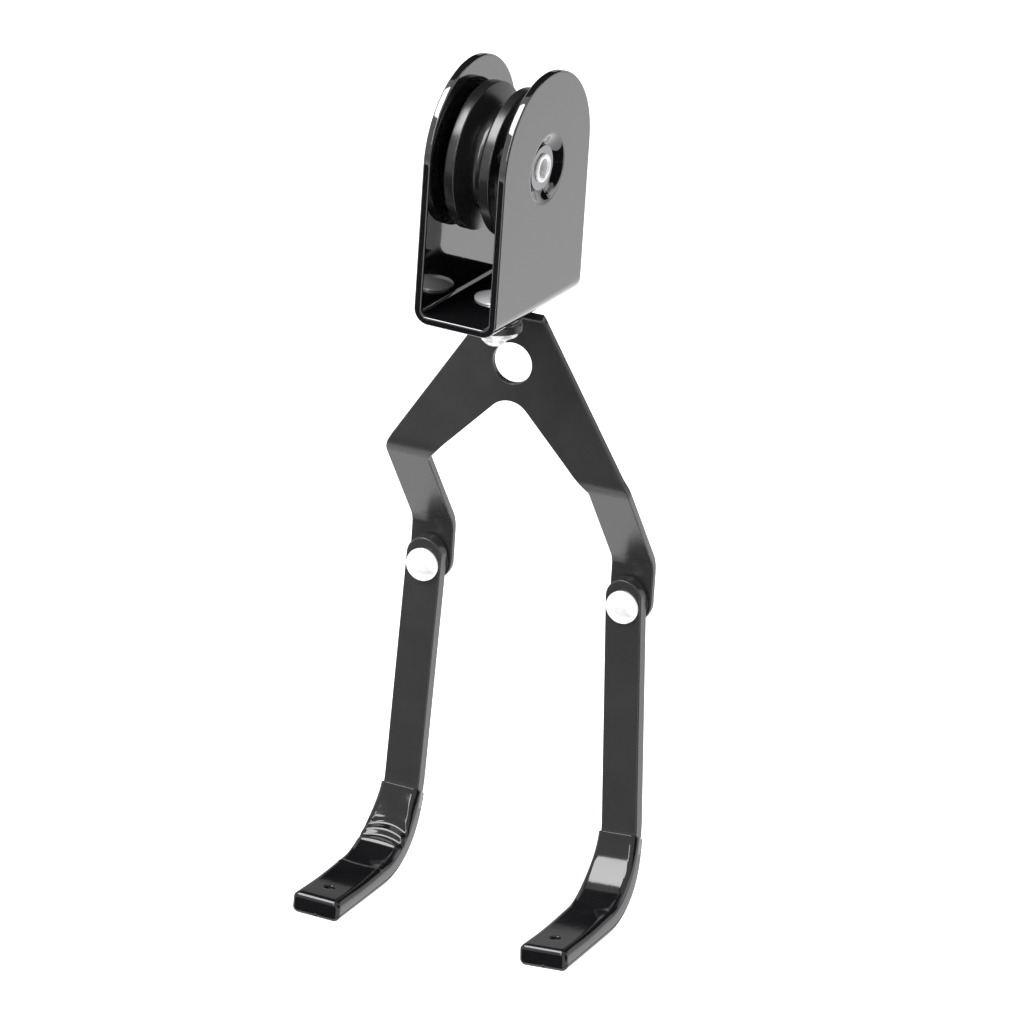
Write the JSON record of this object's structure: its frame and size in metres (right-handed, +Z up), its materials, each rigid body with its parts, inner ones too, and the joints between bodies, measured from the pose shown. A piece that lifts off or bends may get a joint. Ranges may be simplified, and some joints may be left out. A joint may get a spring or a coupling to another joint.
{
  "type": "bike ceiling mount",
  "caption": "Hanging hook block of a bike ceiling hoist: a grooved pulley between two ears of a folded bracket, over a swivelling forked yoke with padded swinging hooks.",
  "frame": {"origin": "middle of the pulley's axle, half way between the bracket's ears, where the lifting rope carries the block", "axes": "+X along the axle, towards the rolled end of its rivet; +Y away from where the hooks reach; +Z up along the swivel"},
  "size_m": [0.0814, 0.0654, 0.239],
  "materials": {
    "bracket_paint": "glossy black paint on steel sheet",
    "yoke_paint": "black powder coat, half gloss",
    "wheel_plastic": "satin black nylon",
    "cover_plastic": "soft glossy black plastic",
    "washer_plastic": "plain black nylon",
    "rivet_chrome": "bright zinc or nickel plate",
    "axle_steel": "plain bright steel"
  },
  "bodies": {
    "bracket": {"bracket": "bracket_paint", "axle_sleeve": "axle_steel", "axle_rivet": "rivet_chrome", "axle_washer": "axle_steel", "swivel_rivet": "rivet_chrome", "swivel_upper_washer": "rivet_chrome", "swivel_middle_washer": "rivet_chrome", "swivel_lower_washer": "rivet_chrome"},
    "pulley": {"pulley_wheel": "wheel_plastic"},
    "yoke": {"yoke": "yoke_paint", "hook_rivet_left": "rivet_chrome", "hook_rivet_right": "rivet_chrome", "hook_pivot_washer_left": "washer_plastic", "hook_pivot_washer_right": "washer_plastic", "hook_back_washer_left": "axle_steel", "hook_back_washer_right": "axle_steel"},
    "hook_left": {"hook_bar_left": "yoke_paint", "hook_cover_left": "cover_plastic"},
    "hook_right": {"hook_bar_right": "yoke_paint", "hook_cover_right": "cover_plastic"}
  },
  "joints": [
    {"name": "pulley_spin", "type": "hinge", "parent": "bracket", "child": "pulley", "pos_m": [0, 0, 0], "axis": [1, 0, 0], "continuous": true},
    {"name": "yoke_swivel", "type": "hinge", "parent": "bracket", "child": "yoke", "pos_m": [0, 0, -0.045], "axis": [0, 0, 1], "continuous": true},
    {"name": "hook_left_swing", "type": "hinge", "parent": "yoke", "child": "hook_left", "pos_m": [-0.03129, 0.0331, -0.1278], "axis": [-0.0698, 0.9976, 0], "range_deg": [-14.4, 35.6]},
    {"name": "hook_right_swing", "type": "hinge", "parent": "yoke", "child": "hook_right", "pos_m": [0.02637, 0.03713, -0.1278], "axis": [0.0698, -0.9976, 0], "range_deg": [-15, 35]}
  ]
}
